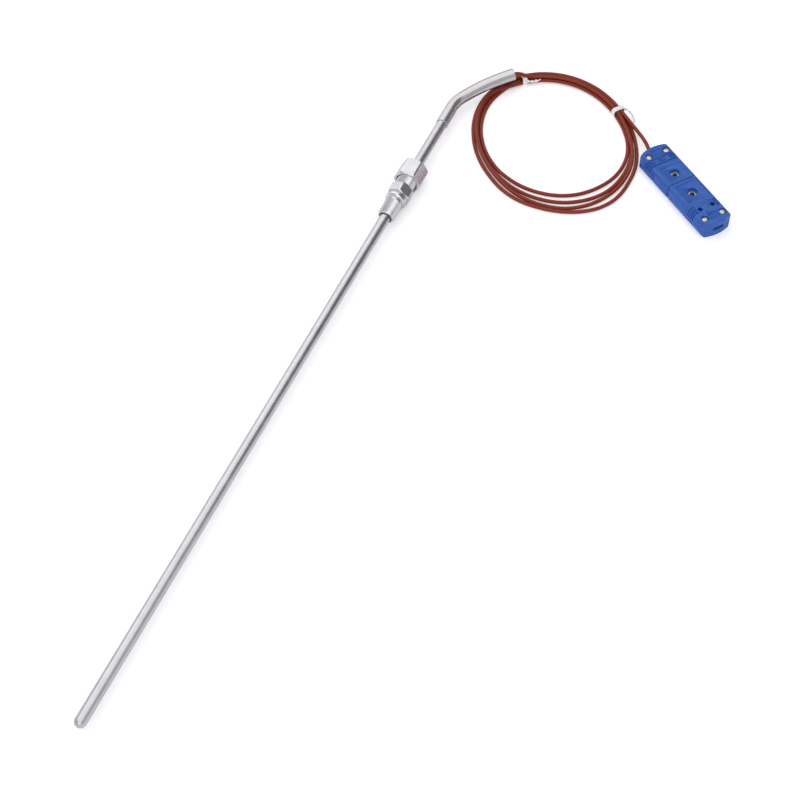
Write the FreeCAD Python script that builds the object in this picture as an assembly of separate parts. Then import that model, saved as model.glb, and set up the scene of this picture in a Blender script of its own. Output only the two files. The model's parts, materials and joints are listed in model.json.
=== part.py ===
# Thermocouple probe: a mineral-insulated sheath with a rounded measuring tip, a bored-through
# compression fitting, a bent transition tube, a coiled two-core lead, and a mated pair of
# miniature flat-blade connectors (a plug on the lead and a jack pushed onto it).
#
# Frame, millimetres: the sheath's axis is Y and the measuring tip points to -Y. The origin is on
# that axis at the small end of the fitting's pipe thread, where the insertion length is measured.
# +Z is up. The fitting's nut, the coil and the connectors lie on one flat surface at FLOOR_Z.
import FreeCAD, Part
import math
import os
from FreeCAD import Placement, Rotation, Vector

os.makedirs("parts", exist_ok=True)

ORIGIN = Vector(0, 0, 0)
ALONG = Vector(0, 1, 0)
UP = Vector(0, 0, 1)

# ---- sheath and what it holds ----
SHEATH_R = 4.76 / 2
SHEATH_WALL = 0.50
TIP_Y = -263.0
TIP_CAP_LENGTH = 4.5
SHEATH_END_Y = 70.5
WIRE_R = 0.38
WIRE_OFFSET = 0.75
JUNCTION_Y = TIP_Y + 7.5
JUNCTION_R = 1.25

# ---- compression fitting, along Y ----
SLIDING_GAP = 0.07
THREAD_PITCH = 0.94
THREAD_TURNS = 10
THREAD_SMALL_R = 3.72
THREAD_DEPTH = 0.62
THREAD_TAPER = 1.0 / 32
MOUTH_R = 2.85
MOUTH_DEPTH = 5.0
COLLAR_R = 4.65
COLLAR_Y = 9.8
BODY_HEX_AF = 9.5
BODY_HEX_Y = 12.6
BODY_HEX_END_Y = 17.8
BODY_HEX_TURN = 20.0
NECK_R = 4.30
NECK_ROOT_R = 3.80
NECK_END_Y = 27.8
NECK_PITCH = 1.0
SEAT_Y = 23.5
SEAT_R = 3.50
NUT_AF = 11.1
NUT_Y = 22.2
NUT_END_Y = 32.2
NUT_STEP_Y = 29.3
NUT_SHOULDER_Y = 30.3
FERRULE_GAP = 0.03
FRONT_FERRULE_Y = 24.6
FRONT_FERRULE_END_Y = 27.4
BACK_FERRULE_Y = 28.7
BACK_FERRULE_END_Y = 30.2

FLOOR_Z = -NUT_AF / 2

# ---- bent transition tube ----
TUBE_R = 2.8
TUBE_BORE_R = SHEATH_R
TUBE_START_Y = 61.1
TUBE_RUNS = (("line", 11.4, 0.0), ("arc", 16.0, 26.0), ("arc", 80.0, 20.0))
TUBE_TILT = 5.0
POTTING_RECESS = 4.0
SPLICE_R = 0.62
SPLICE_LENGTH = 6.0
SPLICE_AT = 20.0

# ---- two-core lead, nearly round ----
LEAD_HEIGHT = 1.6
LEAD_THICKNESS = 1.7
LEAD_TUBE_R = 0.82
CORE_R = 0.3
CORE_OFFSET = 0.38
LEAD_START_OVERLAP = 11.0

# ---- coil of the lead ----
COIL_CENTRE = Vector(47.5, 77.0, 0)
COIL_MEAN_R = 36.4
COIL_OVAL = 3.0
COIL_OVAL_ANGLE = 132.0
TIE_BEARING = (132.0, 53.0)
FAN_BEARING = -50.0
FAN_HALF_SPREAD = 5.2
FAN_REACH = (95.0, 60.0)
TIED_HALF_WIDTH = 2.55
LOOSE_HALF_WIDTH = 3.45
LAYER_LIFT = 0.45
TOP_LAYER_HALF_WIDTH = 1.7
TOP_LAYER_BEARINGS = (137.0, 47.0)
TIE_WIDTH = 2.2
TIE_THICKNESS = 0.4
TIE_TWIST_R = 0.5
TIE_GAP = 0.05

# ---- connectors, each in its own frame: X from the plug's cable end, Z from the floor ----
PLUG_PLACE = Vector(90.6, 83.24, 0)
PLUG_BEARING = -36.2
CONNECTOR_HEIGHT = 7.9
PARTING_Z = 3.95
HALF_WIDTH = 8.0
PLUG_LENGTH = 22.8
SPACE_X = 3.3
MOUTH_HALF = 0.95
JACK_X = 23.1
JACK_END_X = 50.4
BLADE_PITCH = 7.94
BLADE_WIDTHS = (2.4, 3.2)
BLADE_THICKNESS = 0.8
BLADE_START_X = 10.8
BLADE_END_X = 34.2
CONTACT_GAP = 0.06
SCREW_R = 1.4
SCREW_HOLE_R = 1.6
COVER_SCREW_Y = 4.5
PLUG_SCREW_X = 4.2
JACK_SCREW_X = 46.0
TERMINAL_SCREW_R = 1.2
PLUG_TERMINAL_X = 12.6
JACK_TERMINAL_X = 37.2
EYELET_R = 1.45
EYELET_FLANGE_R = 2.0
WINDOW_R = 2.2
PLUG_EYELET_X = 17.5
JACK_EYELET_X = 30.5
PANEL_HOLE_R = 1.05
PANEL_HOLE_X = 40.6
PANEL_HOLE_SPACING = 6.4
GROOVE_WIDTH = 0.5
GROOVE_DEPTH = 0.42
GROOVE_PITCH = 1.15


def export(shape, name):
    """Writes one node and prints how many solids it has and their volume."""
    shape.exportStep("parts/" + name + ".step")
    print(f"{name:26s} solids {len(shape.Solids)}  volume {shape.Volume:9.2f} mm3  valid {shape.isValid()}")


def turned(profile):
    """A solid of revolution about Y from (radius, y) corners."""
    corners = [Vector(radius, y, 0) for radius, y in profile]
    return Part.Face(Part.makePolygon(corners + corners[:1])).revolve(ORIGIN, ALONG, 360)


def sleeve(inner, outer, y0, y1):
    return turned([(inner, y0), (outer, y0), (outer, y1), (inner, y1)])


def rod(radius, y0, y1, z=0.0):
    return Part.makeCylinder(radius, y1 - y0, Vector(0, y0, z), ALONG)


def hexagon(across_flats, y0, y1, turn=0.0):
    """A hexagonal bar along Y with a flat underneath when turn is 0."""
    radius = across_flats / math.sqrt(3)
    angles = [math.radians(60 * i + turn) for i in range(7)]
    ring = [Vector(radius * math.cos(a), y0, radius * math.sin(a)) for a in angles]
    return Part.Face(Part.makePolygon(ring)).extrude(ALONG * (y1 - y0))


def plate(x0, x1, y0, y1, z0, z1):
    return Part.makeBox(x1 - x0, y1 - y0, z1 - z0, Vector(x0, y0, z0))


def post(radius, x, y, z0, z1):
    return Part.makeCylinder(radius, z1 - z0, Vector(x, y, z0))


def swept(wire, radius):
    """A solid round bar along a smooth wire."""
    edge = wire.OrderedEdges[0]
    start = edge.valueAt(edge.FirstParameter)
    tangent = edge.tangentAt(edge.FirstParameter)
    ring = Part.Wire(Part.makeCircle(radius, start, tangent))
    return wire.makePipeShell([ring], True, False)


def routed(points):
    """Straight runs joined by tangent arcs; returns the wire and its arc radii."""
    edges = []
    radii = []
    begin = points[0]
    for previous, corner, following in zip(points, points[1:], points[2:]):
        arriving = (corner - previous).normalize()
        leaving = (following - corner).normalize()
        half_turn = arriving.getAngle(leaving) / 2
        shorter = min(corner.distanceToPoint(previous), corner.distanceToPoint(following))
        cut = 0.45 * shorter
        radius = cut / math.tan(half_turn)
        radii.append(radius)
        arc_start = corner - arriving * cut
        arc_end = corner + leaving * cut
        inward = (leaving - arriving).normalize()
        arc_middle = corner + inward * (radius / math.cos(half_turn) - radius)
        edges.append(Part.LineSegment(begin, arc_start).toShape())
        edges.append(Part.Arc(arc_start, arc_middle, arc_end).toShape())
        begin = arc_end
    edges.append(Part.LineSegment(begin, points[-1]).toShape())
    return Part.Wire(edges), radii


def cord_tube(name, points, radius):
    """A plain tube of a cord along hand-set points, reported with its radii and volume."""
    wire, radii = routed(points)
    tube = swept(wire, radius)
    print(name, "length", round(wire.Length, 1), "radii", [round(r, 1) for r in radii],
          "volume ratio", round(tube.Volume / (math.pi * radius ** 2 * wire.Length), 3))
    return tube


# ------------------------------------------------------------------ sheath and measuring tip
def make_sheath():
    cap_y = TIP_Y + TIP_CAP_LENGTH
    inner = SHEATH_R - SHEATH_WALL
    export(sleeve(inner, SHEATH_R, cap_y, SHEATH_END_Y), "sheath")

    ball = Part.makeSphere(SHEATH_R, Vector(0, TIP_Y + SHEATH_R, 0))
    cap = ball.fuse(rod(SHEATH_R, TIP_Y + SHEATH_R, cap_y))
    export(cap.fuse(rod(inner, cap_y, cap_y + 0.8)).removeSplitter(), "tip_cap")

    powder = rod(inner, cap_y + 0.8, SHEATH_END_Y)
    junction = Part.makeSphere(JUNCTION_R, Vector(0, JUNCTION_Y, 0))
    start = JUNCTION_Y + 0.6
    wires = []
    for side in (1, -1):
        wires.append(rod(WIRE_R, start, SHEATH_END_Y, side * WIRE_OFFSET).cut(junction))
    export(powder.cut(junction).cut(wires[0]).cut(wires[1]), "mineral_insulation")
    export(junction, "hot_junction")
    export(wires[0], "copper_conductor")
    export(wires[1], "constantan_conductor")


# ------------------------------------------------------------------ compression fitting
def thread_profile(start, pitch, turns, crest, depth, taper):
    """Corners of a ring-cut thread, (radius, y), crest first."""
    corners = []
    for i in range(turns):
        y = start + i * pitch
        rise = taper * (y - start)
        corners.append((crest + rise - depth, y))
        corners.append((crest + rise, y + 0.40 * pitch))
        corners.append((crest + rise, y + 0.60 * pitch))
    end = start + turns * pitch
    corners.append((crest + taper * (end - start) - depth, end))
    return corners


def make_fitting():
    core = SHEATH_R + SLIDING_GAP
    outline = [(0, 0)]
    outline += [(THREAD_SMALL_R - THREAD_DEPTH, 0)]
    outline += thread_profile(0.2, THREAD_PITCH, THREAD_TURNS, THREAD_SMALL_R, THREAD_DEPTH, THREAD_TAPER)
    outline += [(COLLAR_R - 0.5, COLLAR_Y), (COLLAR_R, COLLAR_Y + 0.5), (COLLAR_R, BODY_HEX_Y), (0, BODY_HEX_Y)]
    threaded_end = turned(outline)

    across = BODY_HEX_AF / 2
    corner = across / math.cos(math.radians(30))
    chamfer = [(0, BODY_HEX_Y), (across + 0.1, BODY_HEX_Y), (corner + 0.1, BODY_HEX_Y + 0.5)]
    chamfer += [(corner + 0.1, BODY_HEX_END_Y - 0.5), (across + 0.1, BODY_HEX_END_Y), (0, BODY_HEX_END_Y)]
    body_hex = hexagon(BODY_HEX_AF, BODY_HEX_Y, BODY_HEX_END_Y, BODY_HEX_TURN).common(turned(chamfer))

    turns = int((NECK_END_Y - BODY_HEX_END_Y - 1.4) / NECK_PITCH)
    neck = [(0, BODY_HEX_END_Y), (NECK_ROOT_R, BODY_HEX_END_Y)]
    neck += thread_profile(BODY_HEX_END_Y + 1.0, NECK_PITCH, turns, NECK_R, NECK_R - NECK_ROOT_R, 0.0)
    neck += [(NECK_ROOT_R, NECK_END_Y), (0, NECK_END_Y)]

    bore = [(0, -1), (MOUTH_R, -1), (MOUTH_R, MOUTH_DEPTH - 0.4), (core, MOUTH_DEPTH), (core, SEAT_Y)]
    bore += [(SEAT_R, NECK_END_Y), (SEAT_R, NECK_END_Y + 1), (0, NECK_END_Y + 1)]
    body = threaded_end.fuse(body_hex).fuse(turned(neck)).cut(turned(bore))
    export(body.removeSplitter(), "fitting_body")

    inner = SHEATH_R + FERRULE_GAP
    front = [(inner, FRONT_FERRULE_Y), (2.60, FRONT_FERRULE_Y), (3.25, FRONT_FERRULE_END_Y)]
    export(turned(front + [(inner, FRONT_FERRULE_END_Y)]), "front_ferrule")
    back = [(inner, BACK_FERRULE_Y), (2.70, BACK_FERRULE_Y), (3.20, BACK_FERRULE_Y + 0.7)]
    export(turned(back + [(3.20, BACK_FERRULE_END_Y), (inner, BACK_FERRULE_END_Y)]), "back_ferrule")

    across = NUT_AF / 2
    corner = across / math.cos(math.radians(30))
    shell = [(0, NUT_Y), (across - 0.2, NUT_Y), (across, NUT_Y + 0.3), (corner + 0.1, NUT_Y + 0.8)]
    shell += [(corner + 0.1, NUT_END_Y - 1.0), (across, NUT_END_Y - 0.4), (across - 0.5, NUT_END_Y), (0, NUT_END_Y)]
    nut = hexagon(NUT_AF, NUT_Y, NUT_END_Y).common(turned(shell))
    thread_r = NECK_R + 0.06
    hollow = [(0, NUT_Y - 1), (thread_r + 0.5, NUT_Y - 1), (thread_r + 0.5, NUT_Y), (thread_r, NUT_Y + 0.5)]
    hollow += [(thread_r, NUT_STEP_Y), (3.4, NUT_STEP_Y), (3.4, NUT_SHOULDER_Y), (core, NUT_SHOULDER_Y)]
    hollow += [(core, NUT_END_Y + 1), (0, NUT_END_Y + 1)]
    export(nut.cut(turned(hollow)), "fitting_nut")


# ------------------------------------------------------------------ transition tube
def tube_path(begin, end, lift=0.0):
    """The wire of the bent path between two stations, in millimetres from the tube's start."""
    spot = Vector(0, TUBE_START_Y, lift)
    heading = 0.0
    station = 0.0
    edges = []
    for kind, size, turn in TUBE_RUNS:
        length = size if kind == "line" else size * math.radians(turn)
        first = max(begin, station) - station
        last = min(end, station + length) - station

        def point(along, kind=kind, size=size, spot=spot, heading=heading):
            """The point that far along this run."""
            forward = Vector(math.sin(heading), math.cos(heading), 0)
            sideways = Vector(math.cos(heading), -math.sin(heading), 0)
            if kind == "line":
                return spot + forward * along
            angle = along / size
            return spot + forward * (size * math.sin(angle)) + sideways * (size * (1 - math.cos(angle)))

        if last - first > 0.01:
            if kind == "line":
                edges.append(Part.LineSegment(point(first), point(last)).toShape())
            else:
                edges.append(Part.Arc(point(first), point((first + last) / 2), point(last)).toShape())
        spot = point(length)
        heading += math.radians(turn)
        station += length
    return Part.Wire(edges)


def tilted(shape):
    """Turns a piece of the bent tube about the sheath's axis, which lifts its free end."""
    return shape.rotated(ORIGIN, ALONG, -TUBE_TILT)


def tube_length():
    return sum(size if kind == "line" else size * math.radians(turn) for kind, size, turn in TUBE_RUNS)


def tube_end():
    """The point at the tube's free end and the direction there."""
    edge = tilted(tube_path(0, tube_length())).OrderedEdges[-1]
    return edge.valueAt(edge.LastParameter), edge.tangentAt(edge.LastParameter).normalize()


def make_transition():
    whole = tube_length()
    sheath_end = SHEATH_END_Y - TUBE_START_Y
    outer = swept(tube_path(0, whole), TUBE_R)
    bore = swept(tube_path(0, whole), TUBE_BORE_R)
    export(tilted(outer.cut(bore)), "transition_tube")

    potting = swept(tube_path(sheath_end, whole - POTTING_RECESS), TUBE_BORE_R)
    filled = []
    for name, side in (("copper", 1), ("constantan", -1)):
        lift = side * WIRE_OFFSET
        splice = swept(tube_path(SPLICE_AT, SPLICE_AT + SPLICE_LENGTH, lift), SPLICE_R)
        tail = swept(tube_path(sheath_end, SPLICE_AT, lift), WIRE_R)
        core = swept(tube_path(SPLICE_AT + SPLICE_LENGTH, whole - POTTING_RECESS, lift), WIRE_R)
        export(tilted(splice), name + "_splice")
        export(tilted(Part.makeCompound([tail, core])), name + "_splice_wires")
        filled += [splice, tail, core]
    for shape in filled:
        potting = potting.cut(shape)
    export(tilted(potting), "potting")


# ------------------------------------------------------------------ lead, coil and ties
def coil_radius(bearing):
    """The middle of the bundle of turns at a bearing, in degrees, about the coil's centre."""
    return COIL_MEAN_R + COIL_OVAL * math.cos(math.radians(2 * (bearing - COIL_OVAL_ANGLE)))


def fan(bearing):
    """0 where the turns are bundled and 1 where they spread the most."""
    off = (bearing - FAN_BEARING + 180) % 360 - 180
    reach = FAN_REACH[0] if off < 0 else FAN_REACH[1]
    return math.cos(math.radians(90 * min(1.0, abs(off) / reach))) ** 2


def coil_point(bearing, offset, height):
    """A point of the coil, offset outward from the bundle's middle, at a height above the floor."""
    radius = coil_radius(bearing) + offset
    angle = math.radians(bearing)
    spot = COIL_CENTRE + Vector(radius * math.cos(angle), radius * math.sin(angle), 0)
    return Vector(spot.x, spot.y, FLOOR_Z + height)


def half_width(bearing):
    """Half of the bundle's width: tied, loose and lying flat, or fanned out."""
    middle = (TIE_BEARING[0] + TIE_BEARING[1]) / 2
    off = abs((bearing - middle + 180) % 360 - 180)
    loose = min(1.0, max(0.0, (off - 45) / 20))
    width = TIED_HALF_WIDTH + loose * (LOOSE_HALF_WIDTH - TIED_HALF_WIDTH)
    spread = fan(bearing)
    return width * (1 - spread) + (FAN_HALF_SPREAD + LEAD_THICKNESS / 2 + 0.1) * spread


def flat_ring(width_at, z0, z1, step=10):
    """A flat closed ring that follows the bundle."""
    loops = []
    for side in (1, -1):
        curve = Part.BSplineCurve()
        stations = range(0, 360, step)
        curve.interpolate([coil_point(b, side * width_at(b), z0) for b in stations], True)
        loops.append(Part.Face(Part.Wire(curve.toShape())).extrude(UP * (z1 - z0)))
    return loops[0].cut(loops[1])


def make_coil():
    low = flat_ring(half_width, LAYER_LIFT, LAYER_LIFT + LEAD_HEIGHT)
    high = flat_ring(lambda bearing: TOP_LAYER_HALF_WIDTH, LAYER_LIFT + LEAD_HEIGHT, LAYER_LIFT + 2 * LEAD_HEIGHT)
    reach = 60.0
    rim = [COIL_CENTRE]
    for share in (0, 1 / 3, 2 / 3, 1):
        bearing = math.radians(TOP_LAYER_BEARINGS[0] + share * (TOP_LAYER_BEARINGS[1] - TOP_LAYER_BEARINGS[0]))
        rim.append(COIL_CENTRE + Vector(reach * math.cos(bearing), reach * math.sin(bearing), 0))
    corners = [Vector(p.x, p.y, FLOOR_Z) for p in rim]
    wedge = Part.Face(Part.makePolygon(corners + corners[:1])).extrude(UP * 10)
    export(low.fuse(high.common(wedge)), "lead_coil")


def make_lead_ends():
    top_layer = LAYER_LIFT + 1.5 * LEAD_HEIGHT
    end, heading = tube_end()
    start = [end - heading * POTTING_RECESS, end + heading * 1.0]
    start.append(coil_point(TOP_LAYER_BEARINGS[0] - LEAD_START_OVERLAP, -LEAD_THICKNESS / 2, top_layer))
    export(cord_tube("lead_start", start, LEAD_TUBE_R), "lead_start")

    inward = Vector(math.cos(math.radians(PLUG_BEARING)), math.sin(math.radians(PLUG_BEARING)), 0)
    mouth = Vector(PLUG_PLACE.x, PLUG_PLACE.y, FLOOR_Z + PARTING_Z)
    tail = [coil_point(TOP_LAYER_BEARINGS[1], LEAD_THICKNESS / 2, top_layer)]
    tail.append(Vector(76.4, 97.8, FLOOR_Z + 2.9))
    tail.append(Vector(81.8, 93.2, FLOOR_Z + 3.2))
    tail.append(Vector(86.3, 88.7, FLOOR_Z + 3.7))
    tail.append(mouth - inward * 1.5)
    tail.append(mouth + inward * 3.0)
    export(cord_tube("lead_tail", tail, LEAD_TUBE_R), "lead_tail")


def make_ties():
    """A band round the bundle at each tie, with the twisted end that holds it."""
    inner = TIED_HALF_WIDTH + TIE_GAP
    low = LAYER_LIFT - 0.03
    high = LAYER_LIFT + 2 * LEAD_HEIGHT + TIE_GAP
    outer = inner + TIE_THICKNESS
    ends = ([(-2.9, 0.0, 2.9), (-3.8, 2.2, 2.6), (-4.3, 4.8, 2.2), (-4.7, 7.4, 1.8)],
            [(3.2, 0.5, 3.0), (4.3, 2.9, 2.8), (4.4, 6.0, 2.2), (3.0, 9.0, 1.5)])
    for number, bearing in enumerate(TIE_BEARING):
        band = plate(-outer, outer, -TIE_WIDTH / 2, TIE_WIDTH / 2, low - TIE_THICKNESS, high + TIE_THICKNESS)
        band = band.makeFillet(0.35, [e for e in band.Edges if abs(e.Length - TIE_WIDTH) < 0.01])
        band = band.cut(plate(-inner, inner, -TIE_WIDTH, TIE_WIDTH, low, high))
        route = [Vector(x, -y, z) for x, y, z in ends[number]]
        twist = swept(routed(route)[0], TIE_TWIST_R).cut(plate(-inner, inner, -TIE_WIDTH, TIE_WIDTH, low, high))
        spot = coil_point(bearing, 0.0, 0.0)
        place = Placement(spot, Rotation(UP, bearing))
        tie = band.fuse(twist)
        tie.Placement = place
        export(tie, "lead_tie_" + str(number + 1))


# ------------------------------------------------------------------ connectors
def placed(shape):
    """Moves a connector piece from the pair's own frame to where the pair lies."""
    spot = Vector(PLUG_PLACE.x, PLUG_PLACE.y, FLOOR_Z)
    moved = shape.copy()
    moved.Placement = Placement(spot, Rotation(UP, PLUG_BEARING)).multiply(moved.Placement)
    return moved


def moulding(outline, z0, z1, inset=0.0):
    """A moulded block: the outline seen from above, under rounded shoulders along both sides."""
    block = outline.extrude(UP * CONNECTOR_HEIGHT)
    wide = HALF_WIDTH - inset
    top = CONNECTOR_HEIGHT - inset
    bottom = inset
    corners = [(-wide, PARTING_Z - 0.4), (-wide + 0.4, 1.6 + inset), (-wide + 1.7, bottom)]
    corners += [(wide - 1.7, bottom), (wide - 0.4, 1.6 + inset), (wide, PARTING_Z - 0.4)]
    corners += [(wide, PARTING_Z + 0.3), (wide - 0.5, 6.1 - inset), (wide - 1.3, 7.4 - inset), (wide - 2.3, top)]
    corners += [(-wide + 2.3, top), (-wide + 1.3, 7.4 - inset), (-wide + 0.5, 6.1 - inset), (-wide, PARTING_Z + 0.3)]
    section = [Vector(-5, y, z) for y, z in corners]
    bar = Part.Face(Part.makePolygon(section + section[:1])).extrude(Vector(60, 0, 0))
    return block.common(bar).common(plate(-5, 55, -10, 10, z0, z1))


def symmetric_face(half):
    """A flat face, symmetric about X, from the (x, y) corners of its +Y side."""
    spots = [Vector(x, y, 0) for x, y in half]
    mirrored = [Vector(p.x, -p.y, 0) for p in reversed(spots) if p.y > 0]
    return Part.Face(Part.makePolygon(spots + mirrored + spots[:1]))


def rounded_end(x_middle, x_corner, half, side_x, corner_r):
    """Corners of a convex end from its middle to the +Y side, the corner rounded off."""
    sag = abs(x_corner - x_middle)
    radius = (half ** 2 + sag ** 2) / (2 * sag)
    way = 1 if x_corner > x_middle else -1
    points = []
    steps = 6
    for i in range(steps + 1):
        y = (half - corner_r) * i / steps
        points.append((x_middle + way * (radius - math.sqrt(radius ** 2 - y ** 2)), y))
    last = points[-1]
    for i in range(1, 5):
        angle = math.radians(90 * i / 5)
        x = last[0] + (side_x - last[0]) * (1 - math.cos(angle))
        y = last[1] + (half - last[1]) * math.sin(angle)
        points.append((x, y))
    points.append((side_x, half))
    return points


def plug_outline():
    half = rounded_end(0.0, 2.0, HALF_WIDTH, 3.6, 1.6)
    half += [(10.7, HALF_WIDTH), (11.2, 7.3), (12.2, 7.2), (12.8, 7.5), (21.4, 7.8), (22.5, 7.2), (PLUG_LENGTH, 6.6)]
    return symmetric_face(half)


def jack_outline():
    half = rounded_end(JACK_END_X, 48.4, HALF_WIDTH, 45.6, 2.6)
    half += [(JACK_X + 1.3, HALF_WIDTH), (JACK_X + 0.3, 7.3), (JACK_X, 6.6)]
    return symmetric_face(half)


def shell_pair(face, grooves, panel, name_plate):
    """The lower and upper moulded shells of one connector, before their hollows are cut."""
    base = moulding(face, 0.0, PARTING_Z)
    cover = moulding(face, PARTING_Z, CONNECTOR_HEIGHT)
    inner = moulding(face, -1, CONNECTOR_HEIGHT + 1, GROOVE_DEPTH)
    x0, x1, y0, y1, depth = panel
    cover = cover.cut(plate(x0, x1, y0, y1, CONNECTOR_HEIGHT - depth, CONNECTOR_HEIGHT + 1))
    x0, x1, y0, y1, depth = name_plate
    cover = cover.cut(plate(x0, x1, y0, y1, CONNECTOR_HEIGHT - depth, CONNECTOR_HEIGHT + 1))
    for x, spans in grooves:
        for y0, y1 in spans:
            slot = plate(x, x + GROOVE_WIDTH, y0, y1, PARTING_Z + 0.5, CONNECTOR_HEIGHT + 1)
            cover = cover.cut(slot.cut(inner))
            under = plate(x, x + GROOVE_WIDTH, y0, y1, -1, PARTING_Z - 0.6)
            base = base.cut(under.cut(inner))
    return base, cover


def cover_screws(x):
    """Two slotted screws that hold a cover."""
    screws = []
    for side in (1, -1):
        y = side * COVER_SCREW_Y
        top = CONNECTOR_HEIGHT - 0.25
        screw = post(SCREW_R, x, y, top - 1.1, top).fuse(post(0.9, x, y, 1.6, top - 1.0))
        slot = plate(-2, 2, -0.22, 0.22, top - 0.5, top + 1)
        slot.Placement = Placement(Vector(x, y, 0), Rotation(UP, 35 * side + 60))
        screws.append(screw.cut(slot))
    return Part.makeCompound(screws)


def terminal_screws(x):
    """Two slotted screws that clamp the wires to the blades or contacts."""
    screws = []
    for side in (1, -1):
        y = side * BLADE_PITCH / 2
        low = PARTING_Z + BLADE_THICKNESS / 2
        screw = post(TERMINAL_SCREW_R, x, y, low, low + 0.9).fuse(post(0.6, x, y, 2.2, low + 0.1))
        screws.append(screw.cut(plate(x - 2, x + 2, y - 0.2, y + 0.2, low + 0.5, low + 1.5)))
    return Part.makeCompound(screws)


def eyelet(x):
    """A hollow rivet in the window hole."""
    top = CONNECTOR_HEIGHT - 1.9
    ring = post(EYELET_FLANGE_R, x, 0, top - 0.3, top).fuse(post(EYELET_R, x, 0, 1.2, top))
    return ring.cut(post(EYELET_R - 0.3, x, 0, 1.2, top + 1))


def cut_window(base, cover, x):
    """Cuts the seat of the eyelet and the round window above it."""
    top = CONNECTOR_HEIGHT - 1.9
    cover = cover.cut(post(WINDOW_R, x, 0, top, CONNECTOR_HEIGHT + 1))
    cover = cover.cut(post(EYELET_FLANGE_R, x, 0, top - 0.3, top + 0.1))
    cover = cover.cut(post(EYELET_R, x, 0, PARTING_Z - 1, top))
    return base.cut(post(EYELET_R, x, 0, 1.2, PARTING_Z + 1)), cover


def cut_screw_seats(base, cover, x):
    """Cuts the counterbores in the cover and the screw holes in the base."""
    for side in (1, -1):
        y = side * COVER_SCREW_Y
        head = CONNECTOR_HEIGHT - 0.25 - 1.1
        cover = cover.cut(post(SCREW_HOLE_R, x, y, head, CONNECTOR_HEIGHT + 1))
        cover = cover.cut(post(0.95, x, y, PARTING_Z - 1, head + 0.1))
        base = base.cut(post(0.9, x, y, 1.6, PARTING_Z + 1))
    return base, cover


def blade_box(side, grow, x0, x1):
    """The box of one blade, grown sideways and up by a clearance."""
    width = BLADE_WIDTHS[0] if side > 0 else BLADE_WIDTHS[1]
    y = side * BLADE_PITCH / 2
    half = BLADE_THICKNESS / 2 + grow
    return plate(x0, x1, y - width / 2 - grow, y + width / 2 + grow, PARTING_Z - half, PARTING_Z + half)


def wiring_space(x0, x1, screw_x):
    """The hollow in a connector where the wires meet the terminals, round the screw posts."""
    space = plate(x0, x1, -5.6, 5.6, 1.4, 6.5)
    for side in (1, -1):
        space = space.cut(post(1.9, screw_x, side * COVER_SCREW_Y, 0, CONNECTOR_HEIGHT))
    return space


def make_plug():
    whole = (-9.0, 9.0)
    broken = ((-9.0, -4.0), (-2.4, 1.4), (3.2, 9.0))
    grooves = [(6.3, (whole,)), (6.3 + GROOVE_PITCH, broken), (6.3 + 2 * GROOVE_PITCH, broken)]
    grooves.append((6.3 + 3 * GROOVE_PITCH, (whole,)))
    base, cover = shell_pair(plug_outline(), grooves, (12.9, 21.6, -4.8, 4.8, 0.2), (2.2, 5.2, -2.5, 2.5, 0.35))
    space = wiring_space(SPACE_X, 14.4, PLUG_SCREW_X)
    mouth = plate(-1, SPACE_X, -MOUTH_HALF, MOUTH_HALF, PARTING_Z - MOUTH_HALF, PARTING_Z + MOUTH_HALF)
    mouth = mouth.makeFillet(MOUTH_HALF - 0.05, [e for e in mouth.Edges if abs(e.Length - SPACE_X - 1) < 0.01])
    base, cover = cut_window(base, cover, PLUG_EYELET_X)
    base, cover = cut_screw_seats(base, cover, PLUG_SCREW_X)
    for tool in (space, mouth, blade_box(1, 0, 10, 24), blade_box(-1, 0, 10, 24)):
        base = base.cut(tool)
        cover = cover.cut(tool)
    screws = terminal_screws(PLUG_TERMINAL_X)
    export(placed(base), "plug_base")
    export(placed(cover), "plug_cover")
    export(placed(cover_screws(PLUG_SCREW_X)), "plug_cover_screws")
    export(placed(screws), "plug_terminal_screws")
    export(placed(eyelet(PLUG_EYELET_X)), "plug_eyelet")
    for name, side in (("copper", 1), ("constantan", -1)):
        blade = blade_box(side, 0, BLADE_START_X, BLADE_END_X)
        tip = Vector(BLADE_END_X, side * BLADE_PITCH / 2, PARTING_Z)
        edges = [e for e in blade.Edges if abs(e.CenterOfMass.x - BLADE_END_X) < 0.01]
        blade = blade.makeChamfer(0.25, [e for e in edges if e.CenterOfMass.distanceToPoint(tip) > 0.1])
        export(placed(blade.cut(screws)), "plug_" + name + "_blade")
        begin = Vector(SPACE_X, side * CORE_OFFSET, PARTING_Z)
        finish = Vector(BLADE_START_X - 0.25, side * (BLADE_PITCH / 2 - 0.3), PARTING_Z)
        core = Part.makeCylinder(CORE_R, begin.distanceToPoint(finish), begin, finish - begin)
        export(placed(core), "plug_" + name + "_wire")


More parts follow.
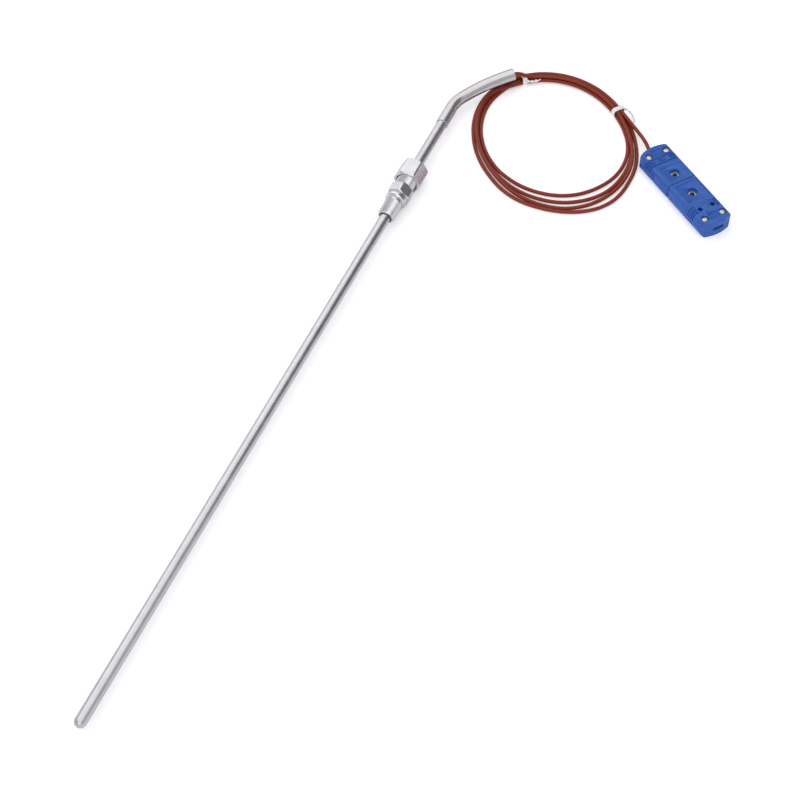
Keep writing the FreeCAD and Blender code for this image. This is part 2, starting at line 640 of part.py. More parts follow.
def make_jack():
    side_spans = ((-9.0, -4.6), (4.6, 9.0))
    grooves = [(38.0 + i * GROOVE_PITCH, side_spans) for i in range(4)]
    base, cover = shell_pair(jack_outline(), grooves, (24.9, 35.6, -5.7, 5.7, 0.2), (44.6, 47.6, -2.4, 2.4, 0.35))
    space = wiring_space(35.5, 43.6, JACK_SCREW_X)
    base, cover = cut_window(base, cover, JACK_EYELET_X)
    base, cover = cut_screw_seats(base, cover, JACK_SCREW_X)
    screws = terminal_screws(JACK_TERMINAL_X)
    tools = [plate(43.0, 52, -2.6, 2.6, PARTING_Z - 0.9, PARTING_Z + 0.9)]
    holes = []
    for side in (1, -1):
        y = side * PANEL_HOLE_SPACING / 2
        space = space.cut(post(PANEL_HOLE_R + 0.6, PANEL_HOLE_X, y, 0, CONNECTOR_HEIGHT))
        holes.append(post(PANEL_HOLE_R, PANEL_HOLE_X, y, -1, CONNECTOR_HEIGHT + 1))
        width = BLADE_WIDTHS[0] if side > 0 else BLADE_WIDTHS[1]
        middle = side * BLADE_PITCH / 2
        half = width / 2 + 0.40
        socket = plate(24.2, 35.6, middle - half, middle + half, PARTING_Z - 0.95, PARTING_Z + 0.95)
        tools += [socket, blade_box(side, 0.35, 22, 25)]
        tongue = plate(35.6, 38.5, middle - 1.2, middle + 1.2, PARTING_Z - 0.4, PARTING_Z + 0.4)
        contact = socket.cut(blade_box(side, CONTACT_GAP, 22, BLADE_END_X + 0.6)).fuse(tongue)
        name = "copper" if side > 0 else "constantan"
        export(placed(contact.cut(screws)), "jack_" + name + "_contact")
    for tool in tools + [space] + holes:
        base = base.cut(tool)
        cover = cover.cut(tool)
    export(placed(base), "jack_base")
    export(placed(cover), "jack_cover")
    export(placed(cover_screws(JACK_SCREW_X)), "jack_cover_screws")
    export(placed(screws), "jack_terminal_screws")
    export(placed(eyelet(JACK_EYELET_X)), "jack_eyelet")
    export(placed(plate(46.5, 48.4, -2.6, 2.6, PARTING_Z - 0.9, PARTING_Z + 0.9)), "jack_entry_grommet")


make_sheath()
make_fitting()
make_transition()
make_coil()
make_lead_ends()
make_ties()
make_plug()
make_jack()
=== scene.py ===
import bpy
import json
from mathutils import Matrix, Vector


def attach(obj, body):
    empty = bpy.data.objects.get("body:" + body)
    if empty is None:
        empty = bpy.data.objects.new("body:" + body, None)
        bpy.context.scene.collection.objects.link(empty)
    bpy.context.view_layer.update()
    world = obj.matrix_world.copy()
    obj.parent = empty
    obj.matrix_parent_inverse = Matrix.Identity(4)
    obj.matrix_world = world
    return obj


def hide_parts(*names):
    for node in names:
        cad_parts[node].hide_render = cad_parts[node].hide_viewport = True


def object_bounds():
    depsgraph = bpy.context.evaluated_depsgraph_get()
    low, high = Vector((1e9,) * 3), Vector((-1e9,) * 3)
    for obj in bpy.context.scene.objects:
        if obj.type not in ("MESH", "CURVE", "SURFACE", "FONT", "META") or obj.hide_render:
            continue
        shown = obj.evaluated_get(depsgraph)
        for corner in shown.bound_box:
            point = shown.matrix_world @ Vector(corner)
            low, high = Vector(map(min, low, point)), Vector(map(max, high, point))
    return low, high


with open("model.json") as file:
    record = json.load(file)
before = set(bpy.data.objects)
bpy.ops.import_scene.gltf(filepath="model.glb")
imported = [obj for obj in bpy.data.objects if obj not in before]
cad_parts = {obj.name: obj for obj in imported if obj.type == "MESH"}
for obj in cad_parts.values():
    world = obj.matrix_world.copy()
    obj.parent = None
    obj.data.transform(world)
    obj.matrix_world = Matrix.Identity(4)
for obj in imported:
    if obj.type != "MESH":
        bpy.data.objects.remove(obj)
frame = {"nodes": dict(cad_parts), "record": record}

"""Thermocouple probe: sheath, compression fitting, bent transition tube, coiled two-core lead and a
mated pair of miniature connectors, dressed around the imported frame. Sizes are in millimetres until
a mesh is made, and every mesh is in metres."""

import json
import logging
import math
from dataclasses import dataclass, field
from enum import Enum
from typing import Iterable, Sequence, Union

import bmesh
import bpy
from mathutils import Matrix, Vector

LOG = logging.getLogger("thermocouple")
MM = 0.001
CAD_BOX = [list(corner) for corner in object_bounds()]
FLOOR = CAD_BOX[0][2] / MM
UP = Vector((0.0, 0.0, 1.0))
REPLACED: set[str] = set()


# ------------------------------------------------------------------ shader expressions
@dataclass(frozen=True)
class Shade:
    """An output socket that adds Math nodes when it is used in an expression."""

    painter: "Painter"
    socket: bpy.types.NodeSocket

    def maths(self, operation: str, *values: Union["Shade", float]) -> "Shade":
        """Adds one Math node.

        Args:
            operation: the Math node's operation.
            values: its inputs, in order.

        Returns:
            The result.
        """
        return self.painter.node("ShaderNodeMath", {"operation": operation}, dict(enumerate(values)))

    def __add__(self, other: Union["Shade", float]) -> "Shade":
        """self + other."""
        return self.maths("ADD", self, other)

    def __radd__(self, other: float) -> "Shade":
        """other + self."""
        return self.maths("ADD", other, self)

    def __sub__(self, other: Union["Shade", float]) -> "Shade":
        """self - other."""
        return self.maths("SUBTRACT", self, other)

    def __mul__(self, other: Union["Shade", float]) -> "Shade":
        """self * other."""
        return self.maths("MULTIPLY", self, other)

    def step(self, low: float, high: float) -> "Shade":
        """0 below low and 1 above high, with a smooth change between."""
        settings = {"interpolation_type": "SMOOTHSTEP"}
        inputs = {"Value": self, "From Min": low, "From Max": high}
        return self.painter.node("ShaderNodeMapRange", settings, inputs)


@dataclass
class Painter:
    """Builds one material's node tree."""

    name: str
    material: bpy.types.Material = field(init=False)

    def __post_init__(self) -> None:
        """Makes the material with its usual two nodes."""
        self.material = bpy.data.materials.new(self.name)
        self.material.use_nodes = True
        self.shader = self.material.node_tree.nodes["Principled BSDF"]

    def node(self, kind: str, settings: dict, inputs: dict, output: Union[int, str] = 0) -> Shade:
        """Adds any node.

        Args:
            kind: the node's type.
            settings: its own settings.
            inputs: values or Shades for its inputs, by name or number.
            output: which output is wanted.

        Returns:
            That output.
        """
        tree = self.material.node_tree
        added = tree.nodes.new(kind)
        for key, value in settings.items():
            setattr(added, key, value)
        for key, value in inputs.items():
            if isinstance(value, Shade):
                tree.links.new(value.socket, added.inputs[key])
            else:
                added.inputs[key].default_value = value
        return Shade(self, added.outputs[output])

    def place(self) -> Shade:
        """The point on the object, in metres."""
        return self.node("ShaderNodeTexCoord", {}, {}, "Object")

    def stretched(self, scale: Sequence[float], turn: Sequence[float] = (0.0, 0.0, 0.0)) -> Shade:
        """The point on the object, turned and then scaled along each axis."""
        return self.node("ShaderNodeMapping", {}, {"Vector": self.place(), "Rotation": turn, "Scale": scale})

    def noise(self, vector: Shade, scale: float, detail: float = 3.0, roughness: float = 0.55) -> Shade:
        """Fractal noise from 0 to 1."""
        inputs = {"Vector": vector, "Scale": scale, "Detail": detail, "Roughness": roughness}
        return self.node("ShaderNodeTexNoise", {}, inputs, "Fac")

    def blend(self, factor: Union[Shade, float], first: Sequence[float], second: Sequence[float]) -> Shade:
        """A mix of two colours."""
        inputs = {"Factor": factor, 6: (*first, 1.0), 7: (*second, 1.0)}
        return self.node("ShaderNodeMix", {"data_type": "RGBA"}, inputs, 2)

    def bump(self, height: Shade, distance: float, strength: float = 1.0) -> Shade:
        """A normal bent by a height from 0 to 1 over a distance in metres."""
        inputs = {"Height": height, "Distance": distance, "Strength": strength}
        return self.node("ShaderNodeBump", {}, inputs)

    def feed(self, **inputs: Union[Shade, float, Sequence[float]]) -> bpy.types.Material:
        """Sets the shader's sockets, named with underscores for spaces.

        Returns:
            The finished material.
        """
        for key, value in inputs.items():
            socket = self.shader.inputs[key.replace("_", " ")]
            if isinstance(value, Shade):
                self.material.node_tree.links.new(value.socket, socket)
            else:
                socket.default_value = value
        return self.material


# ------------------------------------------------------------------ finishes
class Grain(Enum):
    """The way that the tool marks run on a metal piece: the scale of the marks along X, Y and Z."""

    LENGTHWISE = (1.0, 0.02, 1.0)
    TURNED = (0.02, 1.0, 0.02)
    EVEN = (1.0, 1.0, 1.0)


@dataclass(frozen=True)
class SteelFinish:
    """Bare metal with tool marks, faint stains and soft wear."""

    name: str
    colour: tuple[float, float, float] = (0.60, 0.59, 0.60)
    roughness: float = 0.28
    grain: Grain = Grain.EVEN
    grain_size: float = 0.00012
    grain_depth: float = 0.000006
    stain: float = 0.06

    def material(self) -> bpy.types.Material:
        """Returns the metal's material."""
        p = Painter(self.name)
        marks = p.noise(p.stretched(self.grain.value), 1.0 / self.grain_size, 4.0, 0.6)
        cloud = p.noise(p.place(), 180.0, 3.0)
        dark = tuple(c * (1.0 - 2.2 * self.stain) for c in self.colour)
        colour = p.blend((cloud * 0.6 + marks * 0.4).step(0.3, 0.7), dark, self.colour)
        roughness = self.roughness + (marks - 0.5) * 0.16 + (cloud - 0.5) * 0.10
        normal = p.bump(marks, self.grain_depth)
        return p.feed(Base_Color=colour, Metallic=1.0, Roughness=roughness, Normal=normal)


@dataclass(frozen=True)
class MouldedPlastic:
    """Injection-moulded plastic: fine spark-eroded texture, faint flow marks and a few pale specks."""

    name: str
    colour: tuple[float, float, float]
    pale: tuple[float, float, float]
    roughness: float = 0.42
    texture_depth: float = 0.000012

    def material(self) -> bpy.types.Material:
        """Returns the plastic's material."""
        p = Painter(self.name)
        fine = p.noise(p.place(), 5200.0, 2.0)
        flow = p.noise(p.stretched((1.0, 1.6, 1.0), (0.0, 0.0, 0.63)), 260.0, 3.0)
        specks = p.noise(p.place(), 1500.0, 1.0).step(0.74, 0.79)
        tone = flow.step(0.25, 0.8) * 0.55 + specks * 0.35
        colour = p.blend(tone, self.colour, self.pale)
        roughness = self.roughness + (fine - 0.5) * 0.14 + (flow - 0.5) * 0.10
        height = fine * 0.8 + flow * 0.6
        return p.feed(Base_Color=colour, Roughness=roughness, Normal=p.bump(height, self.texture_depth))


@dataclass(frozen=True)
class CordJacket:
    """The lead's extruded jacket, with faint drawing lines along it and small scuffs."""

    name: str = "lead jacket"
    colour: tuple[float, float, float] = (0.20, 0.022, 0.008)
    worn: tuple[float, float, float] = (0.29, 0.042, 0.020)
    roughness: float = 0.38

    def material(self) -> bpy.types.Material:
        """Returns the jacket's material; its UV map runs round and along the lead, in millimetres."""
        p = Painter(self.name)
        uv = p.node("ShaderNodeUVMap", {"uv_map": "along"}, {})
        lines = p.noise(p.node("ShaderNodeMapping", {}, {"Vector": uv, "Scale": (2.4, 0.05, 1.0)}), 1.0, 3.0)
        scuffs = p.noise(p.node("ShaderNodeMapping", {}, {"Vector": uv, "Scale": (1.0, 0.25, 1.0)}), 1.1, 4.0)
        tone = lines.step(0.35, 0.75) * 0.5 + scuffs.step(0.45, 0.8) * 0.5
        colour = p.blend(tone, self.colour, self.worn)
        roughness = self.roughness + (scuffs - 0.5) * 0.22
        return p.feed(Base_Color=colour, Roughness=roughness, Normal=p.bump(lines, 0.00003, 0.6),
                      Specular_IOR_Level=0.3)


@dataclass(frozen=True)
class SoftFinish:
    """Resin, powder, rubber or coated paper: an uneven matt surface."""

    name: str
    colour: tuple[float, float, float]
    second: tuple[float, float, float]
    roughness: float = 0.6
    size: float = 0.0006
    depth: float = 0.00002

    def material(self) -> bpy.types.Material:
        """Returns the matt material."""
        p = Painter(self.name)
        cloud = p.noise(p.place(), 1.0 / self.size, 3.0)
        roughness = self.roughness + (cloud - 0.5) * 0.2
        colour = p.blend(cloud.step(0.3, 0.7), self.colour, self.second)
        return p.feed(Base_Color=colour, Roughness=roughness, Normal=p.bump(cloud, self.depth))


FINISHES = {
    "sheath_steel": SteelFinish(
        "drawn sheath", (0.60, 0.59, 0.61), 0.25, Grain.LENGTHWISE, 0.00022, 0.000010),
    "fitting_steel": SteelFinish("turned fitting", (0.68, 0.67, 0.69), 0.22, Grain.EVEN, 0.00016, 0.000006),
    "ferrule_steel": SteelFinish("ferrule", (0.58, 0.58, 0.58), 0.25, Grain.TURNED),
    "tube_steel": SteelFinish("polished tube", (0.62, 0.60, 0.61), 0.23, Grain.EVEN, 0.0004, 0.000005, 0.04),
    "mineral_powder": SoftFinish("oxide powder", (0.80, 0.79, 0.76), (0.70, 0.69, 0.66), 0.85, 0.0002),
    "junction_metal": SteelFinish("welded bead", (0.40, 0.37, 0.36), 0.45),
    "copper": SteelFinish("bare copper", (0.78, 0.42, 0.28), 0.30, Grain.LENGTHWISE),
    "constantan": SteelFinish("bare constantan", (0.58, 0.54, 0.49), 0.32, Grain.LENGTHWISE),
    "splice_sleeve": SteelFinish("crimp sleeve", (0.66, 0.58, 0.42), 0.35),
    "potting_resin": SoftFinish("potting resin", (0.035, 0.028, 0.026), (0.06, 0.05, 0.045), 0.45, 0.0009),
    "lead_jacket": CordJacket(),
    "tie_band": SoftFinish("coated tie", (0.86, 0.86, 0.86), (0.74, 0.74, 0.76), 0.42, 0.0007),
    "blue_moulding": MouldedPlastic("blue moulding", (0.008, 0.078, 0.38), (0.022, 0.12, 0.48)),
    "cover_screw": SteelFinish("cover screw", (0.72, 0.66, 0.52), 0.28, Grain.EVEN, 0.0002),
    "terminal_screw": SteelFinish("terminal screw", (0.74, 0.64, 0.42), 0.30),
    "eyelet_metal": SteelFinish("eyelet", (0.95, 0.88, 0.72), 0.35, Grain.EVEN, 0.0002),
    "blade_constantan": SteelFinish("constantan blade", (0.60, 0.57, 0.52), 0.27, Grain.EVEN, 0.0003),
    "blade_copper": SteelFinish("copper blade", (0.78, 0.44, 0.30), 0.27, Grain.EVEN, 0.0003),
    "grommet_rubber": SoftFinish("grommet rubber", (0.33, 0.045, 0.035), (0.38, 0.06, 0.05), 0.7, 0.0005),
}
MATERIALS = {slot: finish.material() for slot, finish in FINISHES.items()}


# ------------------------------------------------------------------ meshes and pieces
def settle(name: str, mesh: bpy.types.Mesh, slot: str, sharp: float) -> bpy.types.Object:
    """Gives a mesh its object, material and shading.

    Args:
        name: the piece's name.
        mesh: its mesh, in metres.
        slot: the record's material slot.
        sharp: the angle in degrees above which an edge stays sharp.

    Returns:
        The piece, at the origin.
    """
    mesh.name = name
    mesh.materials.clear()
    mesh.materials.append(MATERIALS[slot])
    mesh.shade_smooth()
    mesh.set_sharp_from_angle(angle=math.radians(sharp))
    piece = bpy.data.objects.new(name, mesh)
    bpy.context.scene.collection.objects.link(piece)
    return piece


def from_bmesh(name: str, bm: bmesh.types.BMesh, slot: str, sharp: float = 35.0) -> bpy.types.Object:
    """Turns a bmesh into a piece, with its faces pointing outwards."""
    bmesh.ops.remove_doubles(bm, verts=bm.verts, dist=1e-7)
    bmesh.ops.recalc_face_normals(bm, faces=bm.faces)
    mesh = bpy.data.meshes.new(name)
    bm.to_mesh(mesh)
    bm.free()
    return settle(name, mesh, slot, sharp)


def add_rings(bm: bmesh.types.BMesh, rings: Sequence[Sequence[Vector]], looped: bool = False) -> None:
    """Joins rings of points, in millimetres, into a closed surface.

    Args:
        bm: the bmesh that takes the faces.
        rings: rings with the same number of points.
        looped: joins the last ring to the first one, in place of two end faces.
    """
    layers = [[bm.verts.new(point * MM) for point in ring] for ring in rings]
    pairs = list(zip(layers, layers[1:])) + ([(layers[-1], layers[0])] if looped else [])
    for lower, upper in pairs:
        for i in range(len(lower)):
            j = (i + 1) % len(lower)
            bm.faces.new((lower[i], lower[j], upper[j], upper[i]))
    if not looped:
        bm.faces.new(layers[0])
        bm.faces.new(layers[-1])


def frames(path: Sequence[Vector], up: Vector) -> list[tuple[Vector, Vector, Vector]]:
    """The tangent, side and upper directions at each point of a path."""
    found = []
    for i in range(len(path)):
        tangent = (path[min(i + 1, len(path) - 1)] - path[max(i - 1, 0)]).normalized()
        side = tangent.cross(up).normalized()
        found.append((tangent, side, side.cross(tangent)))
    return found


def ring_on(spot: Vector, side: Vector, top: Vector, outline: Iterable[tuple[float, float]]) -> list[Vector]:
    """An outline's points set on the plane of two directions through a spot."""
    return [spot + side * x + top * y for x, y in outline]


def circle(radius: float, count: int = 40) -> list[tuple[float, float]]:
    """Points of a circle."""
    angles = (math.tau * i / count for i in range(count))
    return [(radius * math.cos(a), radius * math.sin(a)) for a in angles]


def smooth(value: float) -> float:
    """A smooth rise from 0 to 1 while the value goes from 0 to 1."""
    share = min(1.0, max(0.0, value))
    return share * share * (3 - 2 * share)


def nurbs_line(name: str, points: Sequence[Vector], resolution: int) -> list[Vector]:
    """Points read from a smooth NURBS line whose control points are given, in millimetres."""
    data = bpy.data.curves.new(name, "CURVE")
    data.dimensions = "3D"
    data.resolution_u = resolution
    spline = data.splines.new("NURBS")
    spline.points.add(len(points) - 1)
    for knot, point in zip(spline.points, points):
        knot.co = (*(point * MM), 1.0)
    spline.order_u = 3
    spline.use_endpoint_u = True
    holder = bpy.data.objects.new(name, data)
    bpy.context.scene.collection.objects.link(holder)
    graph = bpy.context.evaluated_depsgraph_get()
    mesh = bpy.data.meshes.new_from_object(holder.evaluated_get(graph))
    line = [vertex.co / MM for vertex in mesh.vertices]
    bpy.data.meshes.remove(mesh)
    bpy.data.objects.remove(holder)
    bpy.data.curves.remove(data)
    return line


# ------------------------------------------------------------------ geometry trees
@dataclass
class GeometryTree:
    """A geometry node tree that is built here, run once and turned into a plain mesh."""

    name: str

    def __post_init__(self) -> None:
        """Makes the tree with its geometry input and output."""
        self.tree = bpy.data.node_groups.new(self.name, "GeometryNodeTree")
        self.tree.interface.new_socket("Geometry", in_out="INPUT", socket_type="NodeSocketGeometry")
        self.tree.interface.new_socket("Geometry", in_out="OUTPUT", socket_type="NodeSocketGeometry")
        self.entry = self.tree.nodes.new("NodeGroupInput")
        self.exit = self.tree.nodes.new("NodeGroupOutput")

    def value(self, name: str, kind: str = "NodeSocketFloat") -> bpy.types.NodeSocket:
        """Adds a named input and returns its socket inside the tree."""
        self.tree.interface.new_socket(name, in_out="INPUT", socket_type=kind)
        return self.entry.outputs[name]

    def node(self, kind: str, settings: dict, inputs: dict) -> bpy.types.Node:
        """Adds a node with its settings and with values or links for its inputs."""
        added = self.tree.nodes.new(kind)
        for key, value in settings.items():
            setattr(added, key, value)
        for key, value in inputs.items():
            if isinstance(value, bpy.types.NodeSocket):
                self.tree.links.new(value, added.inputs[key])
            else:
                added.inputs[key].default_value = value
        return added

    def close(self, geometry: bpy.types.NodeSocket, slot: str) -> None:
        """Ends the tree: real geometry, with its material."""
        real = self.node("GeometryNodeRealizeInstances", {}, {"Geometry": geometry})
        inputs = {"Geometry": real.outputs[0], "Material": MATERIALS[slot]}
        dressed = self.node("GeometryNodeSetMaterial", {}, inputs)
        self.tree.links.new(dressed.outputs[0], self.exit.inputs[0])

    def grow(self, name: str, slot: str, base: bpy.types.Mesh, values: dict,
             sharp: float = 35.0) -> bpy.types.Object:
        """Runs the tree on a mesh.

        Args:
            name: the new piece's name.
            slot: the record's material slot.
            base: the mesh that the tree starts from.
            values: the tree's inputs by name.
            sharp: the angle above which an edge stays sharp.

        Returns:
            The piece, as a plain mesh.
        """
        holder = bpy.data.objects.new(name + ".grown", base)
        bpy.context.scene.collection.objects.link(holder)
        modifier = holder.modifiers.new("grow", "NODES")
        modifier.node_group = self.tree
        items = self.tree.interface.items_tree
        sockets = {item.name: item.identifier for item in items if item.in_out == "INPUT"}
        for key, value in values.items():
            modifier[sockets[key]] = value
        graph = bpy.context.evaluated_depsgraph_get()
        mesh = bpy.data.meshes.new_from_object(holder.evaluated_get(graph))
        bpy.data.objects.remove(holder)
        return settle(name, mesh, slot, sharp)


def thread_tree() -> GeometryTree:
    """The tree of a helical thread ridge along Y, from the start, with a V section."""
    grown = GeometryTree("helical thread")
    spiral = grown.node("GeometryNodeCurveSpiral", {}, {
        "Resolution": 64, "Rotations": grown.value("Turns"), "Start Radius": grown.value("Start Radius"),
        "End Radius": grown.value("End Radius"), "Height": grown.value("Length"), "Reverse": False})
    upright = grown.node("GeometryNodeSetCurveNormal", {"mode": "Z_UP"}, {"Curve": spiral.outputs[0]})
    half = grown.value("Section Half Height")
    section = grown.node("GeometryNodeCurvePrimitiveQuadrilateral", {"mode": "KITE"}, {
        "Width": grown.value("Section Width"), "Bottom Height": half, "Top Height": half})
    ridge = grown.node("GeometryNodeCurveToMesh", {}, {
        "Curve": upright.outputs[0], "Profile Curve": section.outputs[0], "Fill Caps": True})
    move = grown.node("ShaderNodeCombineXYZ", {}, {"Y": grown.value("Start")})
    turned = grown.node("GeometryNodeTransform", {}, {
        "Geometry": ridge.outputs[0], "Rotation": (-math.pi / 2, 0.0, 0.0), "Translation": move.outputs[0]})
    grown.close(turned.outputs[0], "fitting_steel")
    return grown


def copies_tree(slot: str) -> GeometryTree:
    """The tree that sets a copy of one piece on each point, turned by the point's own angle."""
    grown = GeometryTree("copies of " + slot)
    copied = grown.value("Copied Piece", "NodeSocketObject")
    source = grown.node("GeometryNodeObjectInfo", {}, {"Object": copied})
    angle = grown.node("GeometryNodeInputNamedAttribute", {"data_type": "FLOAT"}, {"Name": "turn"})
    euler = grown.node("ShaderNodeCombineXYZ", {}, {"Z": angle.outputs[0]})
    turn = grown.node("FunctionNodeEulerToRotation", {}, {"Euler": euler.outputs[0]})
    placed = grown.node("GeometryNodeInstanceOnPoints", {}, {
        "Points": grown.entry.outputs["Geometry"], "Instance": source.outputs["Geometry"],
        "Rotation": turn.outputs[0]})
    grown.close(placed.outputs[0], slot)
    return grown


def copies(name: str, slot: str, pattern: bpy.types.Object,
           spots: Sequence[tuple[Vector, float]]) -> bpy.types.Object:
    """Sets copies of a small pattern piece at spots.

    Args:
        name: the piece's name.
        slot: its material slot.
        pattern: what is copied, made round the origin; it is removed afterwards.
        spots: a place in millimetres and a turn about Z in radians for each copy.

    Returns:
        One piece that holds every copy.
    """
    base = bpy.data.meshes.new(name + ".spots")
    base.from_pydata([spot * MM for spot, _ in spots], [], [])
    turns = base.attributes.new("turn", "FLOAT", "POINT")
    turns.data.foreach_set("value", [turn for _, turn in spots])
    piece = copies_tree(slot).grow(name, slot, base, {"Copied Piece": pattern})
    bpy.data.objects.remove(pattern)
    return piece


# ------------------------------------------------------------------ studio
@dataclass
class Studio:
    """The pale floor, the soft lights, the dark card and the camera."""

    camera_spot: tuple[float, float] = (228.0, -499.0)
    camera_height: float = 604.5
    azimuth: float = 23.9
    elevation: float = 53.0
    lens: float = 85.5
    floor_reach: float = 3.0
    floor_gap: float = 0.01
    card_ends: tuple[tuple[float, float], tuple[float, float]] = ((0.25, 0.75), (0.80, 0.34))
    card_height: float = 1.1

    def camera(self) -> None:
        """Sets the camera."""
        data = bpy.data.cameras.new("camera")
        data.lens = self.lens
        data.sensor_width = 36.0
        data.clip_start = 0.01
        camera = bpy.data.objects.new("camera", data)
        x, y = self.camera_spot
        camera.location = Vector((x, y, FLOOR + self.camera_height)) * MM
        camera.rotation_euler = (math.radians(90 - self.elevation), 0.0, math.radians(self.azimuth))
        bpy.context.scene.collection.objects.link(camera)
        bpy.context.scene.camera = camera

    def floor(self) -> None:
        """Lays a pale floor with a faint glow, which metal surfaces mirror without the glow."""
        bm = bmesh.new()
        bmesh.ops.create_grid(bm, x_segments=8, y_segments=8, size=self.floor_reach)
        bmesh.ops.translate(bm, verts=bm.verts, vec=(0.0, 0.0, (FLOOR - self.floor_gap) * MM))
        mesh = bpy.data.meshes.new("floor")
        bm.to_mesh(mesh)
        bm.free()
        floor = bpy.data.objects.new("floor", mesh)
        bpy.context.scene.collection.objects.link(floor)
        p = Painter("floor paper")
        p.feed(Base_Color=(0.86, 0.86, 0.87, 1.0), Roughness=1.0, Specular_IOR_Level=0.0,
               Emission_Color=(0.90, 0.90, 0.91, 1.0), Emission_Strength=0.36)
        mirrored = p.node("ShaderNodeBsdfDiffuse", {}, {"Color": (0.92, 0.91, 0.93, 1.0)})
        glossy = p.node("ShaderNodeLightPath", {}, {}, "Is Glossy Ray")
        mixed = p.node("ShaderNodeMixShader", {}, {0: glossy, 2: mirrored})
        tree = p.material.node_tree
        tree.links.new(p.shader.outputs[0], mixed.socket.node.inputs[1])
        tree.links.new(mixed.socket, tree.nodes["Material Output"].inputs[0])
        mesh.materials.append(p.material)

    def lights(self) -> None:
        """Hangs one very wide box overhead and two weaker ones, at the far left and in front."""
        boxes = (
            ("overhead box", (-0.15, 0.10, 1.25), (2.4, 2.4), 12.5, (0.0, 0.05, 0.0)),
            ("left box", (-1.05, 0.75, 0.70), (1.0, 1.2), 2.0, (0.0, 0.0, 0.0)),
            ("front box", (0.35, -1.35, 0.75), (1.2, 0.7), 3.0, (0.0, 0.0, 0.0)),
        )
        for name, spot, size, power, target in boxes:
            data = bpy.data.lights.new(name, "AREA")
            data.shape = "RECTANGLE"
            data.size, data.size_y = size
            data.energy = power
            light = bpy.data.objects.new(name, data)
            light.location = spot
            light.rotation_euler = (Vector(target) - Vector(spot)).to_track_quat("-Z", "Y").to_euler()
            bpy.context.scene.collection.objects.link(light)
        bpy.context.scene.view_settings.view_transform = "Standard"
        world = bpy.data.worlds.new("studio")
        world.use_nodes = True
        world.node_tree.nodes["Background"].inputs[0].default_value = (0.62, 0.615, 0.63, 1.0)
        bpy.context.scene.world = world

    def dark_card(self) -> None:
        """Stands a dark card at the far right, which the metal's right-hand sides mirror."""
        bm = bmesh.new()
        (x0, y0), (x1, y1) = self.card_ends
        corners = ((x0, y0, 0.0), (x1, y1, 0.0), (x1, y1, self.card_height), (x0, y0, self.card_height))
        bm.faces.new([bm.verts.new(corner) for corner in corners])
        mesh = bpy.data.meshes.new("dark card")
        bm.to_mesh(mesh)
        bm.free()
        card = bpy.data.objects.new("dark card", mesh)
        bpy.context.scene.collection.objects.link(card)
        p = Painter("dark card paper")
        p.feed(Base_Color=(0.20, 0.20, 0.21, 1.0), Roughness=1.0, Specular_IOR_Level=0.0)
        mesh.materials.append(p.material)

    def build(self) -> None:
        """Makes the whole studio."""
        self.camera()
        self.floor()
        self.dark_card()
        self.lights()


